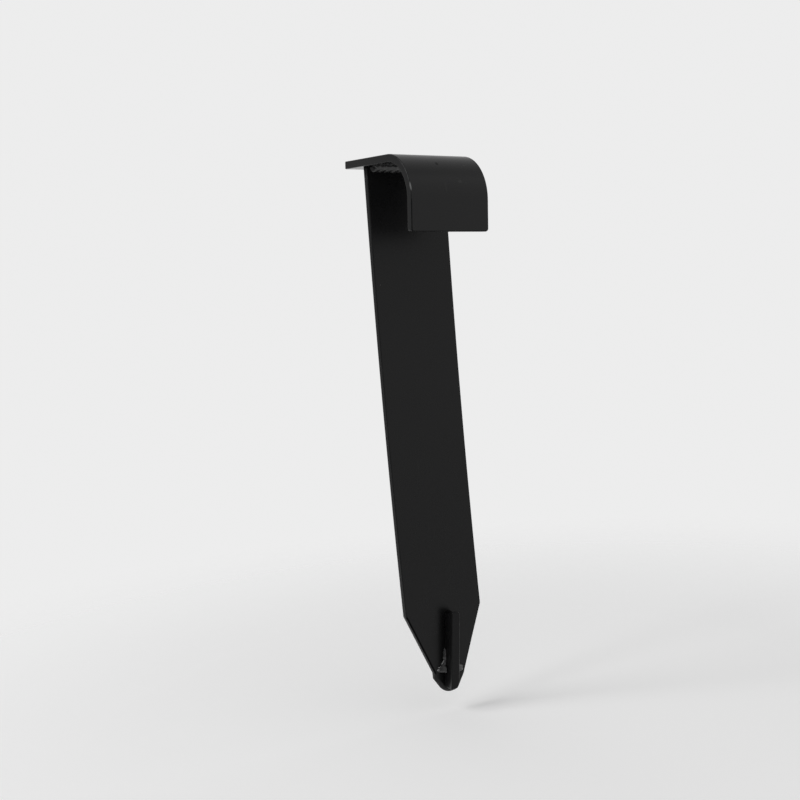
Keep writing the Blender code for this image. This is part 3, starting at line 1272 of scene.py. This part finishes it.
@dataclass
class Studio:
    """Bright soft room, a pale floor that fades into it, two soft lamps and the camera."""

    floor_height: float = -0.0045
    floor_radius: float = 0.40
    floor_corners: int = 96
    floor_clear: float = 0.07
    floor_fade: float = 0.24
    floor_tone: float = 0.95
    floor_roughness: float = 0.9
    floor_glow: float = 0.09
    backdrop_tone: float = 0.845
    room_tone: float = 0.86
    front: Shade = Shade((-0.60, -0.80, -0.10), -0.60, 0.90, 0.28)
    left: Shade = Shade((-0.986, 0.164, 0.0), 0.06, 0.50, 0.60)
    ceiling: Shade = Shade((0.0, 0.35, 0.94), 0.40, 0.72, 0.40)
    lamps: tuple[Softbox, ...] = (
        Softbox("left_softbox", (-1.00, 0.10, 0.90), 7.0),
        Softbox("right_softbox", (1.10, 0.05, 0.40), 1.0),
    )
    camera_place: tuple[float, float, float] = (-0.12756, -0.26221, 0.09687)
    camera_target: tuple[float, float, float] = (-0.00654, 0.00005, 0.07209)
    camera_roll: float = radians(5.183)
    lens: float = 55.28
    sensor: float = 36.0

    def floor(self) -> None:
        """Make the floor, a round sheet."""
        bm = bmesh.new()
        bmesh.ops.create_circle(
            bm, cap_ends=True, segments=self.floor_corners, radius=self.floor_radius,
            matrix=Matrix.Translation((0.0, 0.0, self.floor_height)),
        )
        mesh = bpy.data.meshes.new("floor")
        bm.to_mesh(mesh)
        bm.free()
        mesh.materials.append(self.paper())
        sheet = bpy.data.objects.new("floor", mesh)
        bpy.context.scene.collection.objects.link(sheet)

    def paper(self) -> bpy.types.Material:
        """Build the floor's matt pale material, which fades out away from the stake.

        Returns:
            The material.
        """
        material = bpy.data.materials.new("pale_paper")
        material.use_nodes = True
        graph = Graph(material.node_tree)
        shader = material.node_tree.nodes["Principled BSDF"]
        tone = self.floor_tone
        shader.inputs["Base Color"].default_value = (tone, tone, tone, 1.0)
        shader.inputs["Emission Color"].default_value = (1.0, 1.0, 1.0, 1.0)
        shader.inputs["Roughness"].default_value = self.floor_roughness
        shader.inputs["Specular IOR Level"].default_value = 0.0
        glow = graph.maths("MULTIPLY", self.looked_at(graph), self.floor_glow)
        graph.link(glow, shader.inputs["Emission Strength"])
        away = graph.vector("LENGTH", graph.place)
        gone = graph.ramp(away, self.floor_clear, self.floor_fade)
        graph.link(graph.maths("SUBTRACT", 1.0, gone), shader.inputs["Alpha"])
        return material

    @staticmethod
    def looked_at(graph: Graph) -> bpy.types.NodeSocket:
        """Tell the rays that show the background, to the eye, in a gloss or through glass.

        Args:
            graph: The graph of the floor's material or of the world.

        Returns:
            1 for those rays and 0 for the rays that light the stake.
        """
        path = graph.add("ShaderNodeLightPath").outputs
        seen = graph.maths("MAXIMUM", path["Is Camera Ray"], path["Is Glossy Ray"])
        return graph.maths("MAXIMUM", seen, path["Is Transmission Ray"])

    def room(self) -> None:
        """Fill the room with soft light, dimmer in front, at the left and overhead.

        The camera sees the pale backdrop without these shades.
        """
        world = bpy.data.worlds.new("room")
        bpy.context.scene.world = world
        world.use_nodes = True
        graph = Graph(world.node_tree)
        light = world.node_tree.nodes["Background"]
        light.inputs["Color"].default_value = (1.0, 1.0, 1.0, 1.0)
        towards = graph.add("ShaderNodeTexCoord").outputs["Generated"]
        shaded = self.front.kept(graph, towards)
        for shade in (self.left, self.ceiling):
            shaded = graph.maths("MULTIPLY", shaded, shade.kept(graph, towards))
        path = graph.add("ShaderNodeLightPath").outputs
        straight = graph.maths("MAXIMUM", path["Is Camera Ray"], path["Is Transmission Ray"])
        even = graph.add("ShaderNodeMix", {0: straight, 2: shaded, 3: 1.0})
        level = graph.add("ShaderNodeMix", {
            0: self.looked_at(graph), 2: self.room_tone, 3: self.backdrop_tone,
        })
        strength = graph.maths("MULTIPLY", level.outputs[0], even.outputs[0])
        graph.link(strength, light.inputs["Strength"])

    def camera(self) -> None:
        """Set up the camera at the height, side and tilt that the stake is seen from."""
        data = bpy.data.cameras.new("camera")
        data.lens = self.lens
        data.sensor_width = self.sensor
        holder = bpy.data.objects.new("camera", data)
        bpy.context.scene.collection.objects.link(holder)
        look = (Vector(self.camera_target) - Vector(self.camera_place)).to_track_quat("-Z", "Y")
        holder.matrix_world = (
            Matrix.Translation(self.camera_place) @ look.to_matrix().to_4x4()
            @ Matrix.Rotation(-self.camera_roll, 4, "Z")
        )
        bpy.context.scene.camera = holder

    def build(self) -> None:
        """Build the whole studio."""
        self.floor()
        self.room()
        for lamp in self.lamps:
            lamp.hang()
        self.camera()
        bpy.context.scene.view_settings.view_transform = "Standard"


def main() -> None:
    """Build and dress every sub-assembly, then the studio."""
    logging.basicConfig(level=logging.INFO, format="%(message)s")
    strip = Strip()
    seat = CapSeat(strip)
    effects = Effects(mark_group(), grain_group(), wear_group(), dust_group(), scratch_group())
    flat = PowderCoat("satin_black_blade", roughness=0.28)
    blade_coats = (
        flat,
        replace(flat, name="dull_black_blade_side", roughness=0.50, specular=0.20),
        replace(flat, name="rubbed_black_blade_edge", specular=0.0125),
    )
    pit = Mark((-0.0003, -0.0170, 0.1249), 0.0008, 0.0014, 0.0, depth=0.0014, bare_steel=1.0)
    scuff = Mark((0.0039, -0.0194, 0.1205), 0.0013, 0.0009, 0.018)
    scratch = Mark((-0.0001, -0.0201, 0.1193), 0.0003, 0.0034, 0.014, depth=0.0040)
    # Painted glint: a light streak on the rounded left edge at the end of the bend, where a lamp's
    # reflection shows.
    painted_glint = Mark((-0.0091, -0.0209, 0.1199), 0.0004, 0.0028, 0.16)
    formed = PowderCoat("satin_black_cap", specular=0.28, marks=(pit, scuff, scratch, painted_glint))
    cap_coats = (
        formed,
        replace(formed, name="dull_black_cap_side", roughness=0.40, specular=0.34),
        replace(formed, name="rubbed_black_cap_edge", specular=0.056),
    )
    fin_coat = PowderCoat("satin_black_fin", roughness=0.32, specular=0.16, tip_shade=0.0)
    weld_coat = PowderCoat(
        "glossy_black_weld", roughness=0.28, worn_roughness=0.2, specular=0.65, wear=0.0,
        tip_shade=0.0, grain_cell=0.0003, grain_height=0.000004, scratch_share=0.0,
    )
    fin = TipFin(strip)
    dressed = [
        (Blade(strip, seat).build(), blade_coats, Slot.BLADE),
        (HookCap(strip, seat).build(), cap_coats, Slot.CAP),
        (fin.build_bar(), (fin_coat,), Slot.FIN),
        *((bead, (weld_coat,), Slot.WELD) for bead in CapWelds(strip, seat).build()),
        *((bead, (weld_coat,), Slot.WELD) for bead in fin.build_welds()),
    ]
    for piece, coats, slot in dressed:
        dress(piece, coats, effects)
        LOG.info("%s: %d faces, %s", piece.name, len(piece.data.polygons), slot.value)
    Studio().build()


if __name__ == "__main__":
    main()
